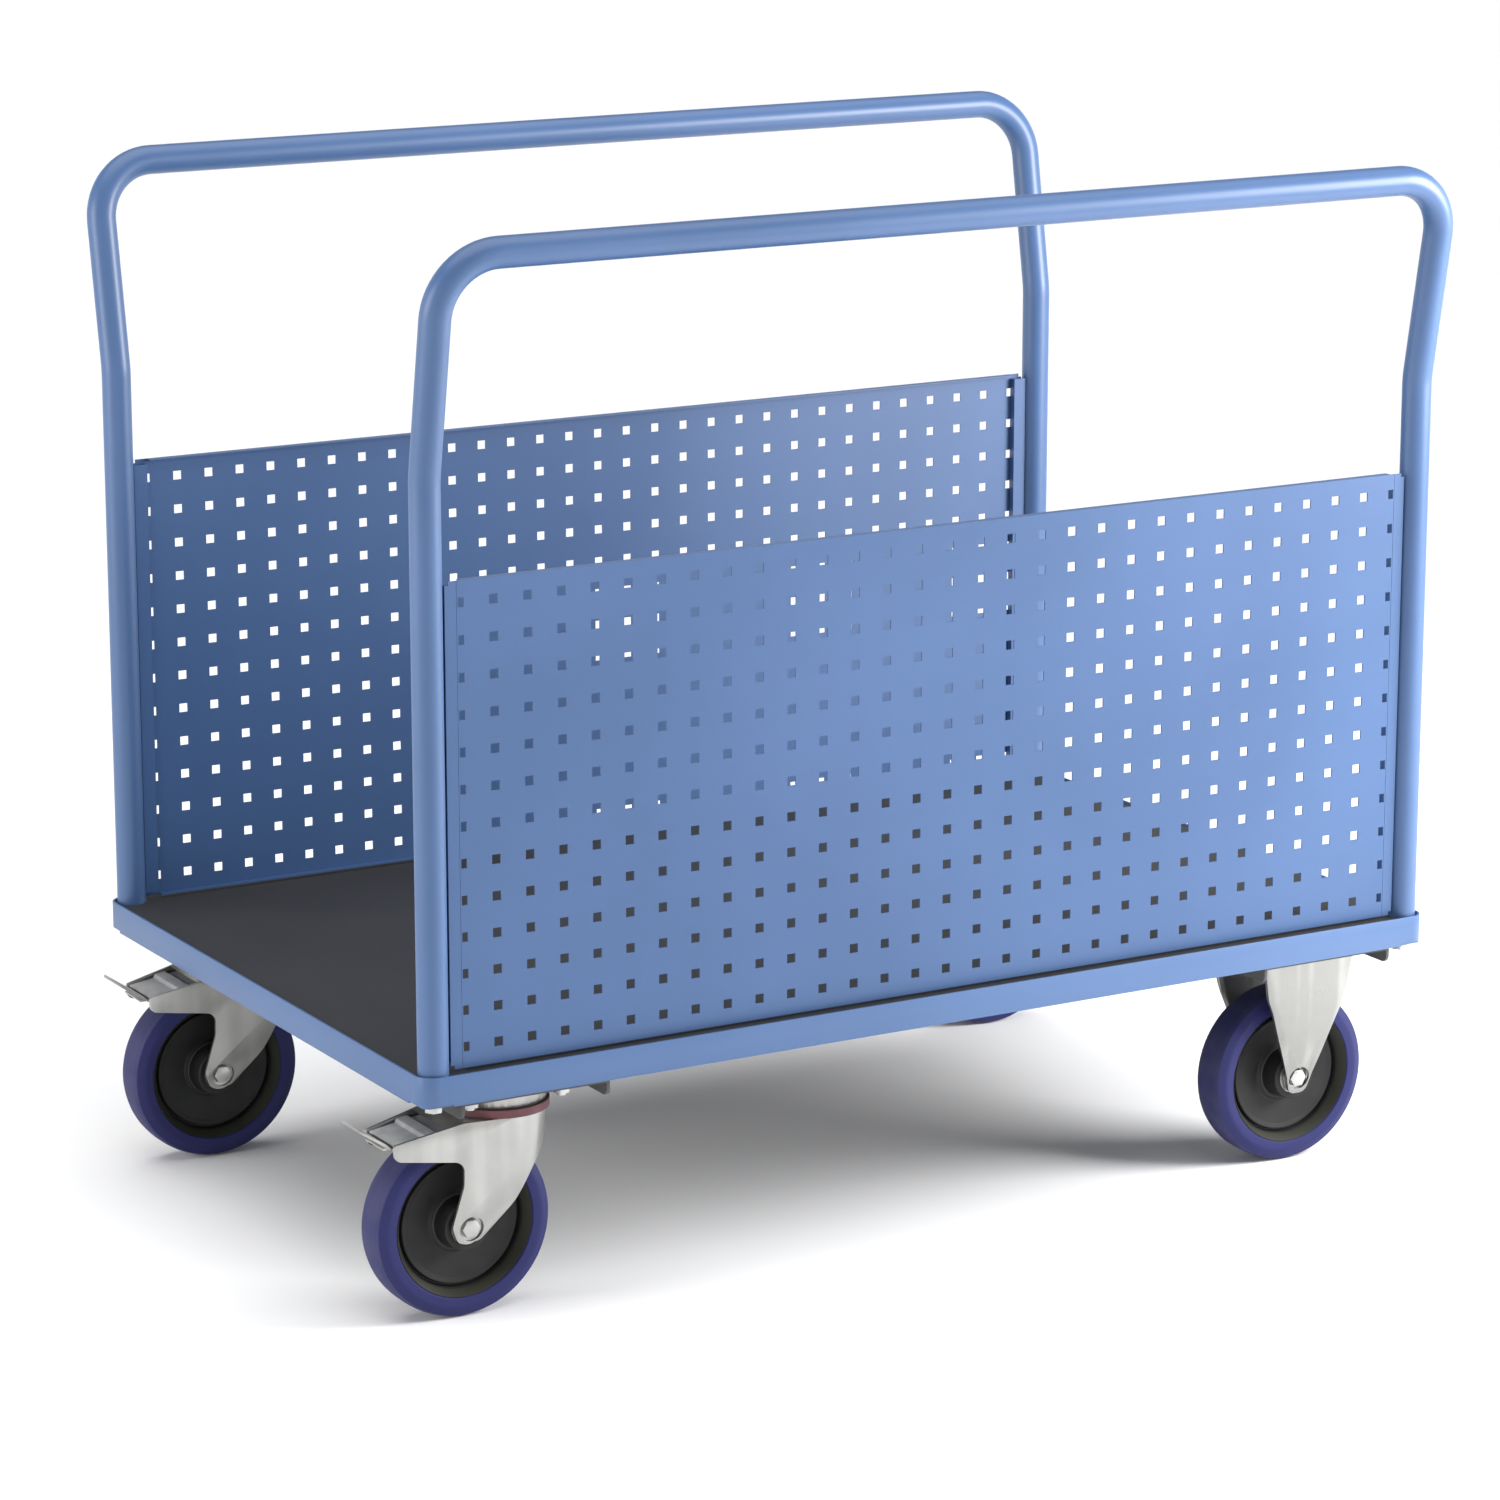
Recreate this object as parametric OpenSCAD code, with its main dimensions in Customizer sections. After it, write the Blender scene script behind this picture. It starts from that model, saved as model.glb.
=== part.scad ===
// Flatbed platform truck: a rimmed deck between two perforated side panels held in tube hoops,
// on two braked swivel castors and two fixed castors.
// Frame: +X runs along the deck towards the fixed castors, +Y across it, +Z up, floor at Z = 0.

/* [Deck] */
// Length of the deck over its rim
deck_l = 1250; // [1000:10:1600]
// Width of the deck over its rim
deck_w = 800; // [700:10:1000]
// Height of the rim
rim_h = 32.5; // [26:0.5:45]
// Sheet thickness of the rim
rim_t = 2.5; // [2:0.5:4]
// Width of the flange folded in under the board
rim_flange_w = 40; // [36:1:60]
// Outer corner radius of the deck
deck_corner_r = 20; // [12:1:24]
// Length of the relief cut each side of a rim corner
corner_relief_l = 34; // [28:1:40]
// How far the board lies below the top of the rim
board_recess = 2; // [0.5:0.5:5]
// Gap between the board and the rim all round
board_gap = 0.5; // [0.2:0.1:2]

/* [Cross channels] */
// Width of a cross channel
channel_w = 170; // [160:1:200]
// Height of a cross channel
channel_h = 18.5; // [14:0.5:30]
// Sheet thickness of a cross channel
channel_t = 4; // [2:0.5:5]
// How far each channel end stays inside the deck edge
channel_inset = 7; // [4:1:20]

/* [Hoops] */
// Outer diameter of the hoop tube
tube_d = 32; // [28:1:36]
// Wall of the hoop tube
tube_wall = 2; // [1.5:0.5:3]
// Distance of an upright's axis from the end of the deck
upright_end_inset = 21.5; // [20:0.5:40]
// Distance of an upright's axis from the side of the deck
upright_side_inset = 20.5; // [20:0.5:40]
// Height of the outward bend above the deck rim
bend_above_deck = 605; // [560:5:800]
// Height of the top bar's axis above the deck rim
bar_above_deck = 828; // [780:2:1100]
// Outward lean of the upper part in degrees
lean_angle = 10; // [5:1:15]
// Centre line radius of the outward bend
lean_bend_r = 100; // [60:5:160]
// Centre line radius of the two upper corners
hoop_corner_r = 64; // [55:1:90]

/* [Perforated panels] */
// Columns of perforations
hole_columns = 31; // [21:2:39]
// Rows of perforations
hole_rows = 13; // [9:1:15]
// Spacing of the perforations
hole_pitch = 38; // [34:1:38]
// Side of a square perforation
hole_side = 10; // [6:0.5:14]
// Sheet thickness of a panel
panel_t = 1.5; // [1:0.5:2.5]
// Depth of the folded edges
panel_fold = 9.5; // [7:0.5:12]
// Distance from an outer row of perforations to the panel's edge
panel_margin = 22; // [16:1:30]
// Height of the panel's lower edge above the deck rim
panel_lift = 1.5; // [1:0.5:20]
// How far the panel's outer face stands in front of the tube axis
panel_face_offset = 5.5; // [3:0.5:8]
// Notch left at each corner of the side lips
lip_notch = 5; // [2:1:12]

/* [Wheels] */
// Wheel diameter
wheel_d = 200; // [180:5:200]
// Tyre width
tyre_w = 48; // [40:1:50]
// Diameter where the tyre meets the core
core_d = 155; // [130:1:160]
// Length of the wheel hub
hub_l = 59; // [56:1:59]
// Diameter of the wheel hub
hub_d = 56; // [50:1:66]
// Thickness of the web between hub and core rim
web_t = 9; // [6:1:14]
// Diameter of the axle bolt
axle_d = 12; // [10:1:12]
// Outer diameter of the axle tube
axle_tube_d = 20; // [18:0.5:22]
// Outer diameter of a wheel bearing
bearing_d = 38; // [32:1:42]
// Width of a wheel bearing
bearing_w = 11; // [8:1:14]

/* [Castors] */
// Total height of a castor over its top plate
castor_h = 249; // [246:1:260]
// Distance from a castor's axis to the end of the deck
castor_end_inset = 131; // [125:1:200]
// Distance from a castor's axis to the side of the deck
castor_side_inset = 92.5; // [85:0.5:150]
// Trail of the swivel castor
trail = 51; // [45:1:52]
// Length of the top plate
plate_l = 140; // [135:1:150]
// Width of the top plate
plate_w = 110; // [105:1:120]
// Thickness of the top plate
plate_t = 5; // [4:0.5:6]
// Spacing of the plate's holes along the deck
bolt_pitch_l = 105; // [103:0.5:110]
// Spacing of the plate's holes across the deck
bolt_pitch_w = 80; // [76:0.5:84]
// Thread size of the studs and bolts
bolt_d = 10; // [8:1:10]
// Sheet thickness of the forks
fork_t = 3.5; // [3:0.5:4]
// Gap between the two legs of a fork
fork_gap = 60; // [59.5:0.5:62]
// Radius of the swivel head
head_r = 50; // [46:1:52]
// Opening angle of the brake pedal in degrees
pedal_travel = 11; // [6:1:11]

/* [Hidden] */
$fn = 64;

// Clearances
eps = 0.01;
seat_gap = 0.3;   // between pieces that only lie near each other
run_gap = 0.05;   // radial, between a shaft and its bore
bolt_gap = 0.5;   // radial, between a bolt and its hole
bearing_gap = 0.25; // above and below the balls of the swivel head
relief_slot = 1;  // between the wall of a rim corner and the flange
seam = 0.02;      // between the straight and the bent lengths of a hoop

// Heights above the floor
wheel_r = wheel_d / 2;
plate_top = castor_h;
plate_bottom = plate_top - plate_t;
rim_bottom = plate_top + channel_t;
rim_top = rim_bottom + rim_h;
board_top = rim_top - board_recess;
board_bottom = rim_bottom + rim_t;
channel_bottom = rim_bottom - channel_h;
bar_z = rim_top + bar_above_deck;
bend_z = rim_top + bend_above_deck;

// Places on the deck
upright_x = deck_l / 2 - upright_end_inset;
upright_y = deck_w / 2 - upright_side_inset;
castor_x = deck_l / 2 - castor_end_inset;
castor_y = deck_w / 2 - castor_side_inset;

// Swivel head
head_top = plate_bottom - 28;
head_t = 4;
cone_bottom = head_top + 7.5;
race_t = 3;
seal_outer_r = head_r + 3;
seal_inner_r = head_r - 5;
ball_d = cone_bottom - head_top - 2 * bearing_gap;
ball_ring_r = head_r - 12;
ball_count = 20;
kingpin_r = 9;
kingpin_head_r = 15;
kingpin_head_t = 4.2;

// Fork legs: they stand apart above and close in on the hub, where each is dished for the axle
leg_in = fork_gap / 2;
leg_out = leg_in + fork_t;
leg_foot_z = wheel_r - 18;
leg_foot_half_w = leg_out + 1.5;
dish_r = 13.5;
dish_y = leg_in + 2.5;
tongue_x = -trail - 85;

// Fasteners
nut_af = bolt_d * 1.7;
nut_h = bolt_d;
washer_t = 2;
washer_r = bolt_d;
bolt_head_h = bolt_d * 0.64;
stud_head_t = 2;
stud_end = plate_bottom - washer_t - nut_h - 3;
axle_af = 18;
axle_head_h = 5;

// Brake
pivot_x = -trail - 43;
pivot_z = wheel_r + 96.5;
pin_r = 3;
pedal_half_w = 25;
pedal_t = 3;
pedal_tip_x = tongue_x - 30;
arm_in = 26;
arm_t = 3;
cover_t = 2.5;
shoe_lever = 25.6; // from the pedal's pivot to the shoe's far edge
shoe_gap = shoe_lever * tan(pedal_travel) + 0.35;
shoe_t = 9.79 - shoe_gap;
pin_reach = leg_in + 6.8; // the pedal's pin ends within the cheeks

// The pedals reach past the deck's end, so the deck stands off centre on X
pedal_overhang = -(pedal_tip_x - castor_x) - deck_l / 2;
origin_shift = max(0, pedal_overhang) / 2;

SWIVEL_FRONT = [-castor_x, -castor_y];
SWIVEL_REAR = [-castor_x, castor_y];
FIXED_FRONT = [castor_x, -castor_y];
FIXED_REAR = [castor_x, castor_y];

// ---- Helpers ----

module place() {
    translate([origin_shift, 0, 0]) children();
}

module at(spot) {
    place() translate([spot[0], spot[1], 0]) children();
}

module four_corners(dx, dy) {
    for (sx = [-1, 1], sy = [-1, 1])
        translate([sx * dx, sy * dy, 0]) children();
}

// Outline whose corners [x, y, r] are rounded with radius r
function unit(v) = v / norm(v);
function corner_arc(a, p, b, steps = 6) =
    let (u = unit([a[0] - p[0], a[1] - p[1]]),
         v = unit([b[0] - p[0], b[1] - p[1]]),
         half = acos(max(-1, min(1, u * v))) / 2,
         reach = p[2] / tan(half),
         c = [p[0], p[1]] + unit(u + v) * (p[2] / sin(half)),
         from = [p[0], p[1]] + u * reach - c,
         to = [p[0], p[1]] + v * reach - c,
         a0 = atan2(from[1], from[0]),
         turn = atan2(to[1], to[0]) - a0,
         sweep = turn > 180 ? turn - 360 : turn < -180 ? turn + 360 : turn)
    [for (i = [0 : steps]) c + p[2] * [cos(a0 + sweep * i / steps), sin(a0 + sweep * i / steps)]];
function rounded(pts) =
    let (n = len(pts))
    [for (i = [0 : n - 1]) each corner_arc(pts[(i + n - 1) % n], pts[i], pts[(i + 1) % n])];

module rounded_square(l, w, r) {
    polygon(rounded([[-l / 2, -w / 2, r], [l / 2, -w / 2, r], [l / 2, w / 2, r], [-l / 2, w / 2, r]]));
}

// Solid across the wheel: outline in X and Z, from -half to half along Y
module across(half) {
    rotate([90, 0, 0]) linear_extrude(2 * half, center = true) children();
}

module hexagon(af, h) {
    cylinder(d = af / cos(30), h = h, $fn = 6);
}

module ring(r_out, r_in, h) {
    difference() {
        cylinder(r = r_out, h = h);
        translate([0, 0, -1]) cylinder(r = r_in, h = h + 2);
    }
}

// Cylinder along Y between two values of Y
module rod_y(r, y0, y1) {
    translate([0, y1, 0]) rotate([90, 0, 0]) cylinder(r = r, h = y1 - y0);
}

// ---- Deck ----

module deck_outline(inset) {
    rounded_square(deck_l - 2 * inset, deck_w - 2 * inset, deck_corner_r - min(inset, deck_corner_r - 4));
}

module deck_rim() {
    relief = corner_relief_l;
    color("#6f93cf") place() difference() {
        union() {
            translate([0, 0, board_bottom]) linear_extrude(rim_top - board_bottom) difference() {
                deck_outline(0);
                deck_outline(rim_t);
            }
            translate([0, 0, rim_bottom]) linear_extrude(rim_t) difference() {
                deck_outline(0);
                deck_outline(rim_flange_w);
                four_corners(deck_l / 2, deck_w / 2) rim_corner_cut(relief);
            }
        }
        four_corners(upright_x, upright_y) translate([0, 0, rim_bottom - 1])
            cylinder(r = bolt_d / 2 + bolt_gap, h = rim_t + 2);
    }
}

// The flange stands back from the wall round each corner
module rim_corner_cut(relief) {
    depth = rim_t + relief_slot;
    square([2 * relief, 2 * depth], center = true);
    square([2 * depth, 2 * relief], center = true);
}

module deck_board() {
    inset = rim_t + board_gap;
    color("#3d3d40") place() difference() {
        translate([0, 0, board_bottom]) linear_extrude(board_top - board_bottom) deck_outline(inset);
        four_corners(upright_x, upright_y) translate([0, 0, board_bottom - 1])
            cylinder(r = bolt_d / 2 + bolt_gap, h = board_top - board_bottom + 2);
    }
}

module cross_channel(x) {
    half_l = deck_w / 2 - channel_inset;
    corner = 8;
    flange = [[-half_l, channel_bottom, corner], [half_l, channel_bottom, corner],
              [half_l, rim_bottom, 0.5], [-half_l, rim_bottom, 0.5]];
    color("#474747") place() translate([x, 0, 0]) difference() {
        union() {
            translate([-channel_w / 2, -half_l, plate_top]) cube([channel_w, 2 * half_l, channel_t]);
            for (s = [-1, 1])
                translate([s * (channel_w - channel_t) / 2, 0, 0]) rotate([90, 0, 90])
                    linear_extrude(channel_t, center = true) polygon(rounded(flange));
        }
        for (y = [-castor_y, castor_y])
            translate([0, y, plate_top - 1]) four_corners(bolt_pitch_l / 2, bolt_pitch_w / 2)
                cylinder(r = bolt_d / 2 + run_gap, h = channel_t + 2);
    }
}

// ---- Hoops ----

// The hoop's upper part lies in a plane that leans out by lean_angle about the bend
lean_drop = lean_bend_r * tan(lean_angle / 2);
leg_up = (bar_z - bend_z) / cos(lean_angle);

module tube_section() {
    difference() {
        circle(d = tube_d);
        circle(d = tube_d - 2 * tube_wall);
    }
}

// Upright, outward bend, upper leg and corner at one end
module hoop_end() {
    translate([upright_x, 0, board_top])
        linear_extrude(bend_z - lean_drop - board_top - seam) tube_section();
    translate([upright_x, lean_bend_r, bend_z - lean_drop]) rotate([90, 0, 90])
        rotate([0, 0, 180 - lean_angle]) rotate_extrude(angle = lean_angle)
            translate([lean_bend_r, 0]) tube_section();
    translate([0, 0, bend_z]) rotate([-lean_angle, 0, 0]) {
        translate([upright_x, 0, lean_drop + seam])
            linear_extrude(leg_up - lean_drop - hoop_corner_r - 2 * seam) tube_section();
        translate([upright_x - hoop_corner_r, 0, leg_up - hoop_corner_r]) rotate([90, 0, 0])
            rotate_extrude(angle = 90) translate([hoop_corner_r, 0]) tube_section();
    }
}

module hoop(side) {
    bar_half_l = upright_x - hoop_corner_r - seam;
    color("#6f93cf") place() mirror([0, side < 0 ? 1 : 0, 0]) translate([0, upright_y, 0]) {
        $fn = 48;
        hoop_end();
        mirror([1, 0, 0]) hoop_end();
        translate([0, 0, bend_z]) rotate([-lean_angle, 0, 0]) translate([-bar_half_l, 0, leg_up])
            rotate([0, 90, 0]) linear_extrude(2 * bar_half_l) tube_section();
    }
}

module hoop_inserts() {
    insert_h = 30;
    color("#b9b9b6") place() four_corners(upright_x, upright_y) translate([0, 0, board_top])
        ring(tube_d / 2 - tube_wall - run_gap, bolt_d / 2 + run_gap, insert_h);
}

module hoop_bolts() {
    head_z = rim_bottom - washer_t - bolt_head_h;
    color("#c9c8c4") place() four_corners(upright_x, upright_y) {
        translate([0, 0, head_z]) hexagon(nut_af, bolt_head_h);
        translate([0, 0, head_z]) cylinder(d = bolt_d, h = board_top + 22 - head_z);
    }
}

module hoop_washers() {
    color("#c9c8c4") place() four_corners(upright_x, upright_y)
        translate([0, 0, rim_bottom - washer_t]) ring(washer_r, bolt_d / 2 + bolt_gap, washer_t);
}

// ---- Perforated panels ----

panel_half_l = (hole_columns - 1) / 2 * hole_pitch + 3;
panel_h = (hole_rows - 1) * hole_pitch + 2 * panel_margin;
panel_bottom = rim_top + panel_lift;
lip_end = upright_x - tube_d / 2 - seat_gap;
wing_end = lip_end - 1.2; // the face reaches almost to the uprights
wing_notch = 4;
bend_mark = 0.4;

// Perforations as squares in X and Z; the end columns stop at the folds
module perforations() {
    fold_x = panel_half_l - panel_t - eps;
    intersection() {
        translate([-(hole_columns - 1) / 2 * hole_pitch, panel_bottom + panel_margin])
            for (i = [0 : hole_columns - 1], j = [0 : hole_rows - 1])
                translate([i * hole_pitch, j * hole_pitch]) square(hole_side, center = true);
        translate([-fold_x, panel_bottom]) square([2 * fold_x, panel_h]);
    }
}

// A shallow tray: perforated face, folded edges, and a face wing and a lip at each upright
module panel(side) {
    face_y = upright_y + panel_face_offset;
    lip_y = face_y - panel_fold;
    color("#7398d6") place() mirror([0, side < 0 ? 1 : 0, 0]) {
        difference() {
            translate([0, face_y - panel_t / 2, 0]) across(panel_t / 2) difference() {
                translate([-wing_end, panel_bottom]) square([2 * wing_end, panel_h]);
                for (x = [-wing_end, wing_end], z = [panel_bottom, panel_bottom + panel_h])
                    translate([x, z]) square(2 * wing_notch, center = true);
                perforations();
            }
            for (x = [-panel_half_l, panel_half_l])
                translate([x - bend_mark / 2, face_y - bend_mark, panel_bottom - 1])
                    cube([bend_mark, 1, panel_h + 2]);
        }
        for (z = [panel_bottom, panel_bottom + panel_h - panel_t])
            translate([-panel_half_l + lip_notch, lip_y, z])
                cube([2 * (panel_half_l - lip_notch), panel_fold - panel_t, panel_t]);
        for (s = [0, 1])
            mirror([s, 0, 0]) translate([0, 0, panel_bottom + lip_notch]) {
                translate([panel_half_l - panel_t, lip_y, 0])
                    cube([panel_t, panel_fold - panel_t, panel_h - 2 * lip_notch]);
                translate([panel_half_l, lip_y, 0])
                    cube([lip_end - panel_half_l, panel_t, panel_h - 2 * lip_notch]);
            }
    }
}

// ---- Castor fasteners ----

module at_plate_holes() {
    place() for (x = [-castor_x, castor_x], y = [-castor_y, castor_y])
        translate([x, y, 0]) four_corners(bolt_pitch_l / 2, bolt_pitch_w / 2) children();
}

module castor_studs() {
    color("#c9c8c4") at_plate_holes() {
        translate([0, 0, stud_end]) cylinder(d = bolt_d, h = rim_bottom - stud_end);
        translate([0, 0, rim_bottom]) cylinder(r = bolt_d * 0.8, h = stud_head_t);
    }
}

module castor_washers() {
    color("#c9c8c4") at_plate_holes() translate([0, 0, plate_bottom - washer_t])
        ring(washer_r - 1, bolt_d / 2 + bolt_gap, washer_t);
}

module castor_nuts() {
    color("#c9c8c4") at_plate_holes() translate([0, 0, plate_bottom - washer_t - nut_h]) difference() {
        hexagon(nut_af, nut_h);
        translate([0, 0, -1]) cylinder(r = bolt_d / 2 + run_gap, h = nut_h + 2);
    }
}

module plate_holes() {
    translate([0, 0, plate_bottom - 1]) four_corners(bolt_pitch_l / 2, bolt_pitch_w / 2)
        cylinder(r = bolt_d / 2 + bolt_gap, h = plate_t + 2);
}

// ---- Swivel head ----

// Top plate with the pressed seat of the ball race below it
module swivel_plate(spot) {
    seat_top_r = head_r + 4;
    color("#c9c8c4") at(spot) difference() {
        union() {
            translate([0, 0, plate_bottom]) linear_extrude(plate_t) rounded_square(plate_l, plate_w, 12);
            translate([0, 0, cone_bottom])
                cylinder(r1 = head_r - 1, r2 = seat_top_r, h = plate_bottom - cone_bottom);
        }
        translate([0, 0, cone_bottom + race_t])
            cylinder(r1 = head_r - 1 - race_t, r2 = seat_top_r - race_t, h = plate_top - cone_bottom);
        translate([0, 0, cone_bottom - 1]) cylinder(r = kingpin_r + run_gap, h = race_t + 2);
        plate_holes();
    }
}

module seal_ring(spot) {
    color("#5c383e") at(spot) translate([0, 0, head_top + seat_gap]) difference() {
        ring(seal_outer_r, seal_inner_r, cone_bottom - head_top - seat_gap + 1.2);
        translate([0, 0, cone_bottom - head_top - seat_gap]) cylinder(r = head_r + 0.3, h = 3);
    }
}

module ball_ring(spot) {
    color("#b9b9b6") at(spot) translate([0, 0, head_top + bearing_gap + ball_d / 2])
        for (i = [0 : ball_count - 1])
            rotate([0, 0, 360 * i / ball_count]) translate([ball_ring_r, 0, 0]) sphere(d = ball_d, $fn = 24);
}

module kingpin(spot) {
    shank = cone_bottom + race_t + run_gap - (head_top - head_t);
    color("#b9b9b6") at(spot) translate([0, 0, head_top - head_t]) {
        cylinder(r = kingpin_r, h = shank);
        translate([0, 0, shank]) cylinder(r = kingpin_head_r, h = kingpin_head_t);
        translate([0, 0, -kingpin_head_t]) cylinder(r = kingpin_head_r, h = kingpin_head_t);
    }
}

// ---- Swivel fork ----

fork_mid_z = wheel_r + 60;
fork_mid_r = head_r - 4;
tongue_end_half_w = leg_in + 2.5;

// One level of the fork's body: round head and tapering tongue
module swivel_level(z, r, end_x, end_half_w) {
    translate([0, 0, z]) {
        cylinder(r = r, h = 0.1, $fn = 48);
        translate([end_x, -end_half_w, 0]) cube([-end_x, 2 * end_half_w, 0.1]);
    }
}

// Drawn body of the fork, smaller by d all round and lower by drop
module swivel_body(d, drop) {
    end_x = tongue_x - 10;
    end_half_w = tongue_end_half_w - d;
    hull() {
        swivel_level(head_top - 0.1 - drop, head_r - d, end_x, end_half_w);
        swivel_level(fork_mid_z, fork_mid_r - d, end_x, end_half_w);
    }
    hull() {
        swivel_level(fork_mid_z, fork_mid_r - d, end_x, end_half_w);
        swivel_level(leg_foot_z - d, leg_foot_half_w - d, -trail - 40, leg_foot_half_w - d);
    }
}

module fork_side_outline() {
    polygon(rounded([
        [tongue_x, wheel_r + 101, 3],
        [tongue_x + 1, wheel_r + 84, 8],
        [-trail - 9, wheel_r + 74, 12],
        [-trail - 9, wheel_r + 48, 30],
        [-trail - 22, wheel_r + 3, 14],
        [-trail - 14, wheel_r - 16, 10],
        [-trail + 10, wheel_r - 14, 12],
        [-trail + 48, wheel_r + 23, 60],
        [-trail + 70, wheel_r + 60, 60],
        [head_r - 6, wheel_r + 87, 30],
        [head_r + 2, wheel_r + 96, 10],
        [head_r + 2, head_top + 1, 0.5],
        [-trail - 5, head_top + 1, 14],
        [-trail - 39, wheel_r + 110, 30]
    ]));
}

// Seat pressed into each leg for the axle: the wall reaches in to the hub
module axle_seats(x) {
    translate([x, 0, wheel_r]) for (s = [0, 1])
        mirror([0, s, 0]) rod_y(dish_r + fork_t, leg_in, leg_out);
}

module axle_holes(x) {
    translate([x, 0, wheel_r]) {
        rod_y(axle_d / 2 + run_gap, -leg_out - 1, leg_out + 1);
        for (s = [0, 1])
            mirror([0, s, 0]) rod_y(dish_r, dish_y, leg_out + 30);
    }
}

module swivel_fork(spot) {
    color("#c8c6c0") at(spot) difference() {
        intersection() {
            union() {
                difference() {
                    swivel_body(0, 0);
                    swivel_body(fork_t, head_t);
                }
                axle_seats(-trail);
            }
            across(head_r + 2) fork_side_outline();
        }
        axle_holes(-trail);
        translate([pivot_x, 0, pivot_z])
            rod_y(pin_r + run_gap, -pin_reach - seat_gap, pin_reach + seat_gap);
        translate([0, 0, head_top - 20]) cylinder(r = kingpin_r + run_gap, h = 30);
    }
}

// ---- Brake ----

// Cover between the cheeks, with a raised cross rib
module brake_cover(spot) {
    x0 = tongue_x + 3;
    rise = wheel_r + 100;
    rib = 4;
    profile = [
        [x0, rise], [x0 + 30, rise + 3.2], [x0 + 32, rise + 3.4 + rib], [x0 + 45, rise + 4.9 + rib],
        [x0 + 47, rise + 5], [x0 + 75, rise + 8]
    ];
    x1 = profile[len(profile) - 1][0];
    taper = 0.11;
    half_w = leg_in - seat_gap;
    color("#8f8f8c") at(spot) intersection() {
        across(head_r) polygon([
            each profile,
            for (i = [len(profile) - 1 : -1 : 0]) profile[i] - [0, cover_t]
        ]);
        translate([0, 0, rise - 20]) linear_extrude(60) polygon([
            [x0, -half_w], [x1, -half_w - taper * (x1 - x0)],
            [x1, half_w + taper * (x1 - x0)], [x0, half_w]
        ]);
    }
}

module brake_pedal(spot) {
    lever = [
        [pedal_tip_x, pivot_z + 18.8], [pedal_tip_x + 1.5, pivot_z + 21.5],
        [tongue_x + 3, pivot_z], [pivot_x - 18, pivot_z - 2],
        [pivot_x - 18, pivot_z - 2 - pedal_t], [tongue_x + 2, pivot_z - 2.8]
    ];
    heel = [
        [tongue_x - 2, pivot_z + 0.5], [tongue_x - 7, pivot_z - 0.4],
        [tongue_x - 6, pivot_z - 2.6], [tongue_x + 3, pivot_z - 2.6]
    ];
    color("#a9a8a4") at(spot) difference() {
        union() {
            across(pedal_half_w) polygon(lever);
            across(pedal_half_w - 4) polygon(heel);
            for (s = [0, 1])
                mirror([0, s, 0]) translate([0, arm_in + arm_t / 2, 0]) across(arm_t / 2) {
                    polygon([
                        [tongue_x + 3, pivot_z], [pivot_x, pivot_z + 5],
                        [pivot_x, pivot_z - 5], [tongue_x + 2, pivot_z - 2.8]
                    ]);
                    translate([pivot_x, pivot_z]) circle(r = 5);
                }
            for (s = [-1, 1])
                translate([tongue_x + 2, s * (arm_in - 0.5) - 1, pivot_z - 2.9]) cube([14, 2, 2.6]);
        }
        translate([pivot_x, 0, pivot_z]) rod_y(pin_r + run_gap, -leg_in, leg_in);
    }
}

// Shoe that presses on the tread, with the web that hangs it on the pedal
module brake_shoe(spot) {
    inner_r = wheel_r + shoe_gap;
    function on_tread(a, r) = [-trail + r * cos(a), wheel_r + r * sin(a)];
    sector = [
        for (a = [118 : 2 : 129]) on_tread(a, inner_r),
        for (a = [128 : -2 : 118]) on_tread(a, inner_r + shoe_t)
    ];
    color("#8f8f8c") at(spot) across(18) polygon(sector);
}

module pedal_pin(spot) {
    color("#b9b9b6") at(spot) translate([pivot_x, 0, pivot_z]) rod_y(pin_r, -pin_reach, pin_reach);
}

// ---- Fixed fork ----

fixed_top_half_w = plate_w / 2 - 1;

module fixed_leg_outline() {
    half = [
        [11, wheel_r - 18, 10], [17, wheel_r + 4, 30], [33, wheel_r + 47, 60],
        [52.5, wheel_r + 100, 80], [61, plate_top, 1]
    ];
    polygon(rounded([
        each half,
        for (i = [len(half) - 1 : -1 : 0]) [-half[i][0], half[i][1], half[i][2]]
    ]));
}

module fixed_level(z, half_l, half_w, r, d) {
    translate([0, 0, z]) linear_extrude(0.1) rounded_square(2 * (half_l - d), 2 * (half_w - d), r - d);
}

// Drawn body of the fork, smaller by d all round
module fixed_body(d) {
    shoulder_z = wheel_r + 85;
    mid_z = wheel_r + 60;
    hull() {
        fixed_level(plate_bottom - 0.05, 70, fixed_top_half_w, 16, d);
        fixed_level(shoulder_z, 60, fixed_top_half_w - 0.5, 22, d);
    }
    hull() {
        fixed_level(shoulder_z, 60, fixed_top_half_w - 0.5, 22, d);
        fixed_level(mid_z, 49, fixed_top_half_w - 4, 21, d);
    }
    hull() {
        fixed_level(mid_z, 49, fixed_top_half_w - 4, 21, d);
        fixed_level(leg_foot_z - d, 26, leg_foot_half_w, 14, d);
    }
}

module fixed_fork(spot) {
    color("#c8c6c0") at(spot) difference() {
        union() {
            translate([0, 0, plate_bottom]) linear_extrude(plate_t) rounded_square(plate_l, plate_w, 12);
            intersection() {
                union() {
                    difference() {
                        fixed_body(0);
                        fixed_body(fork_t);
                    }
                    axle_seats(0);
                }
                across(plate_w / 2) fixed_leg_outline();
            }
        }
        axle_holes(0);
        plate_holes();
    }
}

// ---- Wheels ----

module at_axle(spot, is_swivel) {
    at(spot) translate([is_swivel ? -trail : 0, 0, wheel_r]) children();
}

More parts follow.
